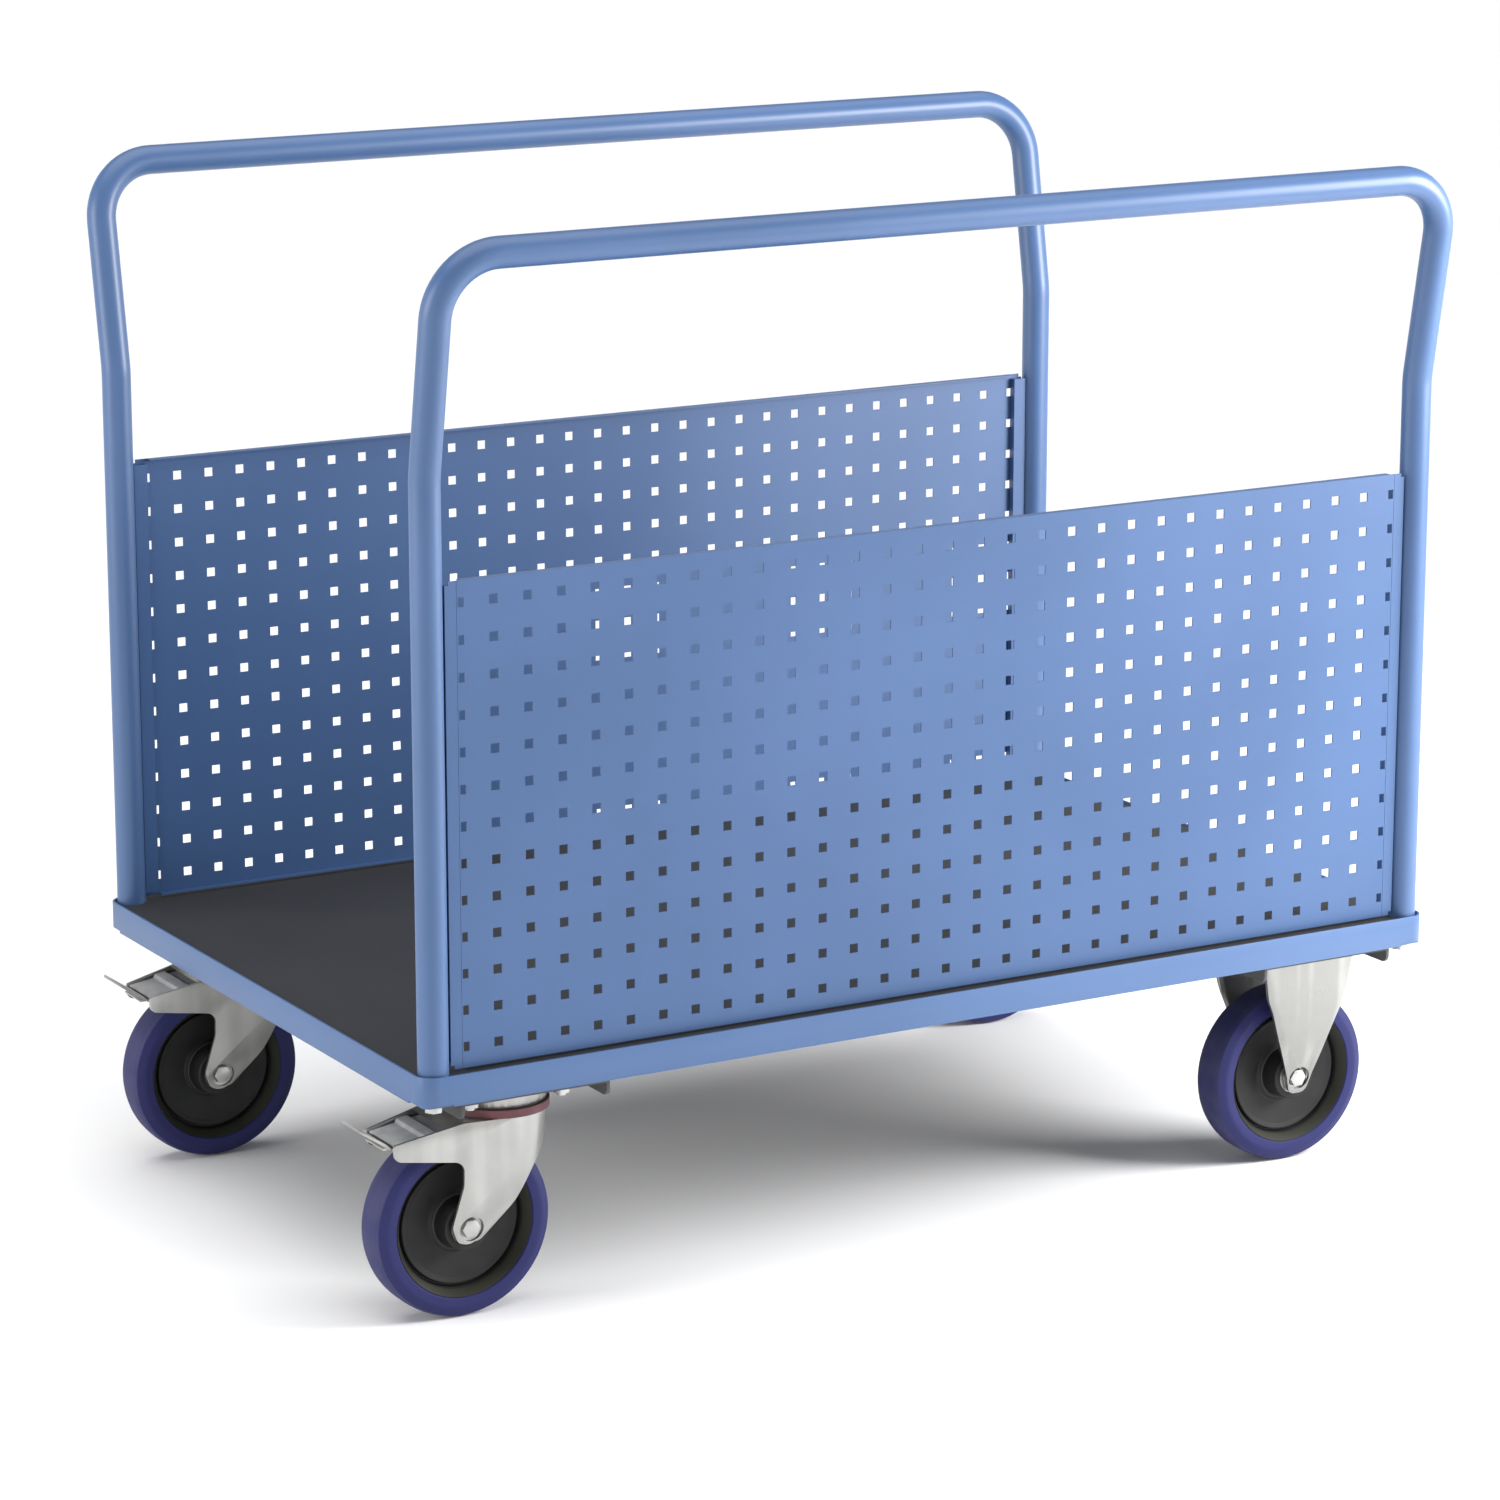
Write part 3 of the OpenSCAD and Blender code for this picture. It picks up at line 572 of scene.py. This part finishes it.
class Workshop:
    """The bench tools: each works on one piece with Blender's own operators."""

    def __init__(self, nodes: dict[str, bpy.types.Object]) -> None:
        """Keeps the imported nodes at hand.

        Args:
            nodes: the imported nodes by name.
        """
        self.nodes = nodes

    def clear(self) -> None:
        """Deselects everything."""
        if bpy.context.mode != "OBJECT":
            bpy.ops.object.mode_set(mode="OBJECT")
        bpy.ops.object.select_all(action="DESELECT")

    def take(self, name: str) -> bpy.types.Object:
        """Names the primitive that was just added and bakes its place into its mesh.

        Args:
            name: the new piece's name.

        Returns:
            The piece.
        """
        piece = bpy.context.object
        piece.name = piece.data.name = name
        bpy.ops.object.transform_apply(location=True, rotation=True, scale=True)
        return piece

    def finish(self, piece: bpy.types.Object, angle: float) -> None:
        """Merges doubles, turns the faces outwards and smooths them up to an angle.

        Args:
            piece: the piece in hand.
            angle: the sharpest edge that is smoothed, in degrees.
        """
        self.hold(piece)
        bpy.ops.object.mode_set(mode="EDIT")
        bpy.ops.mesh.select_all(action="SELECT")
        bpy.ops.mesh.remove_doubles(threshold=MERGE_FINISHED)
        bpy.ops.mesh.normals_make_consistent(inside=False)
        bpy.ops.object.mode_set(mode="OBJECT")
        bpy.ops.object.shade_smooth_by_angle(angle=math.radians(angle))

    def hold(self, piece: bpy.types.Object) -> None:
        """Makes a piece the only selected and the active one."""
        self.clear()
        piece.select_set(True)
        bpy.context.view_layer.objects.active = piece

    def apply(self, piece: bpy.types.Object, kind: str, **settings: object) -> None:
        """Adds a modifier and applies it.

        Args:
            piece: the piece in hand.
            kind: the modifier's type.
            settings: the modifier's properties.
        """
        self.hold(piece)
        made = piece.modifiers.new(kind.lower(), kind)
        for key, value in settings.items():
            setattr(made, key, value)
        bpy.ops.object.modifier_apply(modifier=made.name)

    def turn(self, name: str, centre: Vector, outline: Sequence[Point], steps: int) -> bpy.types.Object:
        """Turns an outline into a ring round an axle along Y.

        Args:
            name: the new piece's name.
            centre: the middle of the ring.
            outline: the section's points, as radius and place along the axle.
            steps: how many faces go round.

        Returns:
            The turned piece.
        """
        self.clear()
        first = centre + Vector((0, outline[0][1], outline[0][0]))
        bpy.ops.mesh.primitive_plane_add(size=1e-4, location=first)
        piece = self.take(name)
        bpy.ops.object.mode_set(mode="EDIT")
        bpy.ops.mesh.select_all(action="SELECT")
        bpy.ops.mesh.merge(type="CENTER")
        for (r0, y0), (r1, y1) in zip(outline, [*outline[1:], outline[0]]):
            bpy.ops.mesh.extrude_region_move(TRANSFORM_OT_translate={"value": (0, y1 - y0, r1 - r0)})
        bpy.ops.mesh.select_all(action="SELECT")
        bpy.ops.mesh.remove_doubles(threshold=MERGE_TURNED)
        bpy.ops.mesh.spin(steps=steps, angle=2 * math.pi, center=centre, axis=(0, 1, 0))
        bpy.ops.object.mode_set(mode="OBJECT")
        self.finish(piece, SMOOTH_TURNED)
        return piece

    def refine(
        self, node: str, name: str, width: float, angle: float = SMOOTH_SHEET
    ) -> bpy.types.Object:
        """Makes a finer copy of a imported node, with its sharp edges rounded.

        Args:
            node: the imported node.
            name: the new piece's name.
            width: how far each edge is cut back, in metres.
            angle: the flattest edge that is rounded, in degrees.

        Returns:
            The finer piece.
        """
        mesh = self.nodes[node].data.copy()
        mesh.materials.clear()
        mesh.name = name
        piece = bpy.data.objects.new(name, mesh)
        bpy.context.scene.collection.objects.link(piece)
        self.hold(piece)
        bpy.ops.object.mode_set(mode="EDIT")
        bpy.ops.mesh.select_all(action="SELECT")
        bpy.ops.mesh.remove_doubles(threshold=MERGE_PACKED)
        bpy.ops.mesh.dissolve_limited(angle_limit=math.radians(FLAT_ENOUGH), use_dissolve_boundaries=False)
        bpy.ops.mesh.customdata_custom_splitnormals_clear()
        bpy.ops.object.mode_set(mode="OBJECT")
        self.apply(
            piece,
            "BEVEL",
            width=width,
            segments=2,
            limit_method="ANGLE",
            angle_limit=math.radians(angle),
            use_clamp_overlap=True,
        )
        self.hold(piece)
        bpy.ops.object.shade_smooth_by_angle(angle=math.radians(angle))
        return piece

    def tube(self, name: str, path: "TubePath") -> bpy.types.Object:
        """Draws one end of a hoop as a bent tube, then mirrors it.

        Args:
            name: the new piece's name.
            path: where the tube runs.

        Returns:
            The whole hoop.
        """
        self.clear()
        foot = (path.x, path.y, path.foot)
        bpy.ops.mesh.primitive_circle_add(
            vertices=path.around, radius=path.radius, fill_type="NOTHING", location=foot
        )
        piece = self.take(name)
        bpy.ops.object.mode_set(mode="EDIT")
        bpy.ops.mesh.select_all(action="SELECT")
        lean = path.lean * path.sign
        up = Vector((0, math.sin(lean), math.cos(lean)))
        drop = path.bend_radius * math.tan(path.lean / 2)
        self._run(Vector((0, 0, path.bend - drop - path.foot)))
        hub = Vector((path.x, path.y + path.sign * path.bend_radius, path.bend - drop))
        bpy.ops.mesh.spin(steps=path.bend_steps, angle=lean, center=hub, axis=(1, 0, 0))
        length = (path.top - path.bend) / math.cos(lean)
        self._run(up * (length - drop - path.corner_radius))
        turn = Vector((path.x - path.corner_radius, path.y, path.bend))
        turn += up * (length - path.corner_radius)
        axis = Vector((0, -math.cos(lean), math.sin(lean)))
        bpy.ops.mesh.spin(steps=path.corner_steps, angle=-math.pi / 2, center=turn, axis=axis)
        self._run(Vector((path.middle - turn.x, 0, 0)))
        bpy.ops.object.mode_set(mode="OBJECT")
        self.apply(piece, "MIRROR", use_axis=(True, False, False), mirror_object=self.marker(path.middle))
        self.remove_marker()
        self.hold(piece)
        bpy.ops.object.mode_set(mode="EDIT")
        bpy.ops.mesh.select_all(action="SELECT")
        bpy.ops.mesh.remove_doubles(threshold=MERGE_MIRRORED)
        bpy.ops.mesh.fill_holes(sides=0)
        bpy.ops.object.mode_set(mode="OBJECT")
        self.finish(piece, SMOOTH_TUBE)
        return piece

    def _run(self, step: Vector) -> None:
        """Extrudes the selected loop by a step."""
        bpy.ops.mesh.extrude_region_move(TRANSFORM_OT_translate={"value": step})

    def marker(self, x: float) -> bpy.types.Object:
        """Adds an empty at X for a mirror to use.

        Args:
            x: its place.

        Returns:
            The empty.
        """
        made = bpy.data.objects.new("mirror_marker", None)
        bpy.context.scene.collection.objects.link(made)
        made.location = (x, 0, 0)
        bpy.context.view_layer.update()
        return made

    def remove_marker(self) -> None:
        """Takes the mirror's empty away again."""
        bpy.data.objects.remove(bpy.data.objects["mirror_marker"])


# ---------------------------------------------------------------- sub-assemblies


@dataclass
class TubePath:
    """Where one hoop's tube runs, in metres."""

    x: float
    y: float
    foot: float
    bend: float
    top: float
    middle: float
    sign: int
    radius: float
    lean: float
    bend_radius: float
    corner_radius: float
    around: int = 40
    bend_steps: int = 5
    corner_steps: int = 16


@dataclass
class Part:
    """A sub-assembly: it makes its pieces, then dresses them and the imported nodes."""

    shop: Workshop
    made: list[bpy.types.Object] = field(default_factory=list, init=False)

    def dress(self, piece: bpy.types.Object, finish: bpy.types.Material) -> None:
        """Gives a piece one finish all over."""
        piece.data.materials.clear()
        piece.data.materials.append(finish)

    def dress_node(self, node: str, finish: bpy.types.Material) -> None:
        """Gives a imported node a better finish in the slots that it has.

        Args:
            node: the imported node.
            finish: its finish.
        """
        target = self.shop.nodes[node]
        if not target.material_slots:
            target.data.materials.append(finish)
        for place in target.material_slots:
            place.material = finish

    def settle(
        self,
        piece: bpy.types.Object,
        body: str,
        slot: str,
        finish: bpy.types.Material,
        node: str | None,
    ) -> None:
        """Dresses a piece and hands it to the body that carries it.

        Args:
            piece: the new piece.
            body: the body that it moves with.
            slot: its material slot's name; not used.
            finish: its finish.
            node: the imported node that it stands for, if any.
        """
        self.dress(piece, finish)
        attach(piece, body)
        if node:
            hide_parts(node)
        self.made.append(piece)


@dataclass
class Deck(Part):
    """Rimmed deck on its two cross channels."""

    rim_edge: float = 0.8 * MM
    channel_edge: float = 1.2 * MM

    def build(
        self,
        paint: bpy.types.Material,
        channel: bpy.types.Material,
        cover: bpy.types.Material,
    ) -> None:
        """Makes the finer rim and channels and dresses the board.

        Args:
            paint: the rim's powder coat.
            channel: the channels' paint.
            cover: the deck's covering.
        """
        rim = self.shop.refine("deck_rim", "rim_folded", self.rim_edge)
        self.settle(rim, "chassis", "blue_powder_coat", paint, "deck_rim")
        for kind in Castor:
            node = f"channel_{kind.value}"
            piece = self.shop.refine(node, f"{node}_folded", self.channel_edge)
            self.settle(piece, "chassis", "channel_paint", channel, node)
        self.dress_node("deck_board", cover)


@dataclass
class Hoops(Part):
    """The two tube hoops, each bent from one length."""

    tube_radius: float = 16 * MM
    lean: float = math.radians(10)
    bend_radius: float = 100 * MM
    corner_radius: float = 64 * MM

    def path(self, side: Side) -> TubePath:
        """Finds where a hoop's tube runs.

        Args:
            side: the hoop's side.

        Returns:
            Its path.
        """
        low, high = (Vector(v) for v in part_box(f"hoop_{side.word}"))
        inner, outer = (low.y, high.y) if side is Side.REAR else (high.y, low.y)
        upright_y = inner + side.value * self.tube_radius
        bar_y = outer - side.value * self.tube_radius
        bar_z = high.z - self.tube_radius
        return TubePath(
            x=high.x - self.tube_radius,
            y=upright_y,
            foot=low.z,
            bend=bar_z - abs(bar_y - upright_y) / math.tan(self.lean),
            top=bar_z,
            middle=(low.x + high.x) / 2,
            sign=side.value,
            radius=self.tube_radius,
            lean=self.lean,
            bend_radius=self.bend_radius,
            corner_radius=self.corner_radius,
        )

    def build(self, paint: bpy.types.Material) -> None:
        """Bends both hoops and coats them.

        Args:
            paint: the tubes' powder coat.
        """
        for side in Side:
            node = f"hoop_{side.word}"
            piece = self.shop.tube(f"{node}_bent", self.path(side))
            self.settle(piece, "chassis", "blue_powder_coat", paint, node)


@dataclass
class Panels(Part):
    """The two perforated panels."""

    def build(self, paint: bpy.types.Material) -> None:
        """Coats the panels.

        Args:
            paint: the panels' powder coat.
        """
        for side in Side:
            self.dress_node(f"panel_{side.word}", paint)


@dataclass
class Fasteners(Part):
    """Bolts, nuts, studs and washers; the bolts and nuts with their edges broken."""

    edge: float = 0.5 * MM

    def build(self, steel: bpy.types.Material) -> None:
        """Makes the finer nuts and bolts and dresses the rest.

        Args:
            steel: their plating.
        """
        for node in ("hoop_bolts", "castor_nuts"):
            piece = self.shop.refine(node, f"{node}_chamfered", self.edge, SMOOTH_FASTENER)
            self.settle(piece, "chassis", "bright_steel", steel, node)
        for node in ("hoop_inserts", "hoop_washers", "castor_studs", "castor_washers"):
            self.dress_node(node, steel)


@dataclass
class Wheel(Part):
    """Elastic tyre on its moulded core, with the axle through it."""

    kind: Castor = Castor.SWIVEL
    side: Side = Side.FRONT
    steps: int = 112
    axle_edge: float = 0.6 * MM
    bond_radius: float = 77.6 * MM
    bond_half: float = 21.5 * MM
    flank_radius: float = 88.5 * MM
    tread_half: float = 13.5 * MM
    crown_half: float = 6.0 * MM

    @property
    def tag(self) -> str:
        """The end of its nodes' names."""
        return f"{self.kind.value}_{self.side.word}"

    def tyre_outline(self, outer: float, half: float) -> list[Point]:
        """The tyre's section.

        Args:
            outer: the tyre's radius.
            half: half its width.

        Returns:
            Radius and place along the axle of each point.
        """
        side = [
            (self.bond_radius, self.bond_half, 0.8 * MM),
            (self.bond_radius + 1.2 * MM, half - 0.6 * MM, 0.8 * MM),
            (self.flank_radius, half, 10 * MM),
            (outer - 2.4 * MM, half - 4.2 * MM, 1.4 * MM),
            (outer - 0.5 * MM, self.tread_half, 12 * MM),
            (outer, self.crown_half, 20 * MM),
        ]
        return rounded([*side, *((r, -y, f) for r, y, f in reversed(side))])

    def core_outline(self) -> list[Point]:
        """The core's section, from the lip under the tyre in to the bearing seat.

        Returns:
            Radius and place along the axle of each point.
        """
        lip = [(77.5, 21.8, 0.2), (77.1, 22.6, 0.2), (71.2, 12.6, 0.6), (70.2, 10.6, 0.4)]
        groove = [(69.6, 4.4, 0.5), (67.4, 4.0, 0.5), (66.4, 9.6, 0.4), (65.2, 10.2, 0.4)]
        web = [(60.0, 8.6, 1.2), (38.0, 5.4, 6.0), (33.6, 5.0, 1.4), (31.6, 6.6, 0.6), (29.6, 6.8, 0.5)]
        hub = [(28.4, 9.5, 1.2), (26.0, 28.2, 0.5), (24.6, 29.4, 0.5), (19.2, 29.4, 0.3), (19.2, 16.0, 0.0)]
        side = [*lip, *groove, *web, *hub]
        both = [*side, *((r, -y, f) for r, y, f in reversed(side))]
        return rounded([(r * MM, y * MM, f * MM) for r, y, f in both])

    def build(
        self,
        rubber: bpy.types.Material,
        plastic: bpy.types.Material,
        steel: bpy.types.Material,
    ) -> None:
        """Turns the tyre and the core and dresses the axle.

        Args:
            rubber: the tyre's rubber.
            plastic: the core's plastic.
            steel: the axle's plating.
        """
        low, high = (Vector(v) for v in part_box(f"tyre_{self.tag}"))
        centre = (low + high) / 2
        outer = (high.z - low.z) / 2
        half = (high.y - low.y) / 2
        body = f"wheel_{self.tag}"
        section = self.tyre_outline(outer, half)
        tyre = self.shop.turn(f"tyre_moulded_{self.tag}", centre, section, self.steps)
        self.settle(tyre, body, "tyre_rubber", rubber, f"tyre_{self.tag}")
        core = self.shop.turn(f"core_moulded_{self.tag}", centre, self.core_outline(), self.steps)
        self.settle(core, body, "wheel_core_plastic", plastic, f"wheel_core_{self.tag}")
        self.dress_node(f"bearings_{self.tag}", steel)
        self.dress_node(f"axle_tube_{self.tag}", steel)
        carrier = "chassis" if self.kind is Castor.FIXED else f"swivel_{self.side.word}"
        for node in (f"axle_bolt_{self.tag}", f"axle_nut_{self.tag}"):
            piece = self.shop.refine(node, f"{node}_chamfered", self.axle_edge, SMOOTH_FASTENER)
            self.settle(piece, carrier, "bright_steel", steel, node)


@dataclass
class SwivelCastor(Part):
    """Drawn fork under its plate, with cover and brake pedal."""

    side: Side = Side.FRONT
    sheet_edge: float = 0.9 * MM

    def build(
        self,
        zinc: bpy.types.Material,
        steel: bpy.types.Material,
        dark: bpy.types.Material,
        seal: bpy.types.Material,
    ) -> None:
        """Makes the finer sheet parts and dresses the rest.

        Args:
            zinc: the plating of the drawn sheet.
            steel: the plating of turned parts.
            dark: the duller plating of the brake's cover.
            seal: the seal's plastic.
        """
        word = self.side.word
        carried = f"swivel_{word}"
        for node, body, finish in (
            (f"swivel_plate_{word}", "chassis", zinc),
            (f"swivel_fork_{word}", carried, zinc),
            (f"brake_cover_{word}", carried, dark),
            (f"brake_pedal_{word}", f"pedal_{word}", zinc),
        ):
            piece = self.shop.refine(node, f"{node}_drawn", self.sheet_edge)
            self.settle(piece, body, "zinc_plated_sheet", finish, node)
        for node in ("ball_ring", "kingpin", "brake_shoe", "pedal_pin"):
            self.dress_node(f"{node}_{word}", steel)
        self.dress_node(f"seal_ring_{word}", seal)


@dataclass
class FixedCastor(Part):
    """Drawn fork that is one with its plate."""

    side: Side = Side.FRONT
    sheet_edge: float = 0.9 * MM

    def build(self, zinc: bpy.types.Material) -> None:
        """Makes the finer fork.

        Args:
            zinc: the plating of the drawn sheet.
        """
        node = f"fixed_fork_{self.side.word}"
        piece = self.shop.refine(node, f"{node}_drawn", self.sheet_edge)
        self.settle(piece, "chassis", "zinc_plated_sheet", zinc, node)


# ---------------------------------------------------------------- studio


@dataclass
class Studio:
    """Pale floor, soft light and the camera."""

    eye: Point3 = (-2.7738, -4.8029, 1.8110)
    heading: float = math.radians(-30.011)
    tilt: float = math.radians(13.61)
    lens: float = 123.05
    ambient: float = 0.18
    horizon: float = 0.97
    horizon_top: float = 0.20
    ambient_from: float = 0.34
    floor_size: float = 60.0
    sensor: float = 36.0
    sight: Point = (0.1, 100.0)
    aim: Point3 = (0.0, 0.0, 0.5)
    overhead_angle: float = math.radians(75)
    overhead_strength: float = 2.75

    def floor(self) -> None:
        """Lays the floor."""
        bpy.ops.object.select_all(action="DESELECT")
        bpy.ops.mesh.primitive_plane_add(size=self.floor_size, location=(0, 0, 0))
        made = bpy.context.object
        made.name = "studio_floor"
        made.data.materials.append(StudioPaper().build())

    def camera(self) -> None:
        """Sets the camera at its place."""
        data = bpy.data.cameras.new("camera")
        data.sensor_width = self.sensor
        data.lens = self.lens
        data.clip_start, data.clip_end = self.sight
        made = bpy.data.objects.new("camera", data)
        made.location = self.eye
        made.rotation_euler = (math.pi / 2 - self.tilt, 0, self.heading)
        bpy.context.scene.collection.objects.link(made)
        bpy.context.scene.camera = made

    def lamp(self, name: str, place: Point3, size: float, power: float) -> None:
        """Hangs one soft lamp that looks at the truck.

        Args:
            name: the lamp's name.
            place: where it hangs.
            size: its side.
            power: its power in watts.
        """
        data = bpy.data.lights.new(name, "AREA")
        data.shape, data.size, data.energy = "SQUARE", size, power
        made = bpy.data.objects.new(name, data)
        made.location = place
        made.rotation_mode = "QUATERNION"
        aim = Vector(self.aim) - Vector(place)
        made.rotation_quaternion = aim.to_track_quat("-Z", "Y")
        bpy.context.scene.collection.objects.link(made)

    def overhead(self) -> None:
        """Hangs the wide soft light over the whole floor."""
        data = bpy.data.lights.new("overhead", "SUN")
        data.angle, data.energy = self.overhead_angle, self.overhead_strength
        bpy.context.scene.collection.objects.link(bpy.data.objects.new("overhead", data))

    def light(self) -> None:
        """Lights the room: a bright horizon, dimmer above, a key at the right and a rim light."""
        world = bpy.data.worlds.new("studio")
        world.use_nodes = True
        tree = world.node_tree
        shade = tree.nodes["Background"]
        shade.inputs["Color"].default_value = (1, 1, 1, 1)
        place = tree.nodes.new("ShaderNodeTexCoord")
        split = tree.nodes.new("ShaderNodeSeparateXYZ")
        fade = tree.nodes.new("ShaderNodeMapRange")
        limits = {
            "From Min": self.horizon_top,
            "From Max": self.ambient_from,
            "To Min": self.horizon,
            "To Max": self.ambient,
        }
        for key, value in limits.items():
            fade.inputs[key].default_value = value
        tree.links.new(place.outputs["Generated"], split.inputs[0])
        tree.links.new(split.outputs["Z"], fade.inputs["Value"])
        tree.links.new(fade.outputs[0], shade.inputs["Strength"])
        bpy.context.scene.world = world
        self.lamp("key_right", (1.9, -1.45, 1.25), 1.1, 96)
        self.lamp("rim_left", (-5.0, 0.5, 1.6), 2.5, 120)
        self.overhead()
        view = bpy.context.scene.view_settings
        view.view_transform = "Standard"
        view.look = "None"

    def build(self) -> None:
        """Sets the studio up."""
        self.floor()
        self.light()
        self.camera()


def wheel_spot(kind: Castor) -> WheelSpot:
    """Finds where a kind's wheels turn.

    Args:
        kind: the castor's kind.

    Returns:
        The place of its axles.
    """
    low, high = (Vector(v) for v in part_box(f"tyre_{kind.value}_rear"))
    middle = (low + high) / 2
    return WheelSpot(x=middle.x, z=middle.z)


def main() -> None:
    """Builds the truck's looks in order and reports each piece."""
    logging.basicConfig(level=logging.INFO, format="%(message)s")
    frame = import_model()
    Studio().build()
    shop = Workshop(frame["nodes"])

    blue = PowderCoat("blue_powder_coat", (0.058, 0.122, 0.272)).build()
    panel_blue = PowderCoat("panel_powder_coat", (0.040, 0.097, 0.236), 0.46).build()
    channel = ChannelPaint().build()
    cover = DeckCovering().build()
    zinc = ZincPlate("zinc_sheet").build()
    # the fixed forks' zinc: darker, with its painted reflection stripes twice as strong
    pressed = ZincPlate("zinc_pressed", (0.33, 0.328, 0.315), 0.30, painted_reflection_strength=1.0).build()
    steel = ZincPlate("bright_steel", (0.50, 0.50, 0.488), 0.34, 0.8, (1.0, 1.0, 1.0), 0.000006).build()
    dull = ZincPlate("dull_zinc", (0.46, 0.46, 0.45), 0.45, 0.05).build()
    seal = SealPlastic().build()

    parts: list[tuple[Part, Callable[[Part], None]]] = [
        (Deck(shop), lambda p: p.build(blue, channel, cover)),
        (Hoops(shop), lambda p: p.build(blue)),
        (Panels(shop), lambda p: p.build(panel_blue)),
        (Fasteners(shop), lambda p: p.build(steel)),
    ]
    for side in Side:
        parts.append((SwivelCastor(shop, side=side), lambda p: p.build(zinc, steel, dull, seal)))
        parts.append((FixedCastor(shop, side=side), lambda p: p.build(pressed)))
    for kind in Castor:
        spot = wheel_spot(kind)
        rubber = TyreRubber(f"tyre_rubber_{kind.value}", spot).build()
        plastic = CorePlastic(f"core_plastic_{kind.value}", spot).build()
        for side in Side:
            wheel = Wheel(shop, kind=kind, side=side)
            parts.append((wheel, lambda p, a=rubber, b=plastic: p.build(a, b, steel)))
    for part, build in parts:
        build(part)
        for piece in part.made:
            LOG.info("%s: %s, %d faces", type(part).__name__, piece.name, len(piece.data.polygons))


if __name__ == "__main__":
    main()
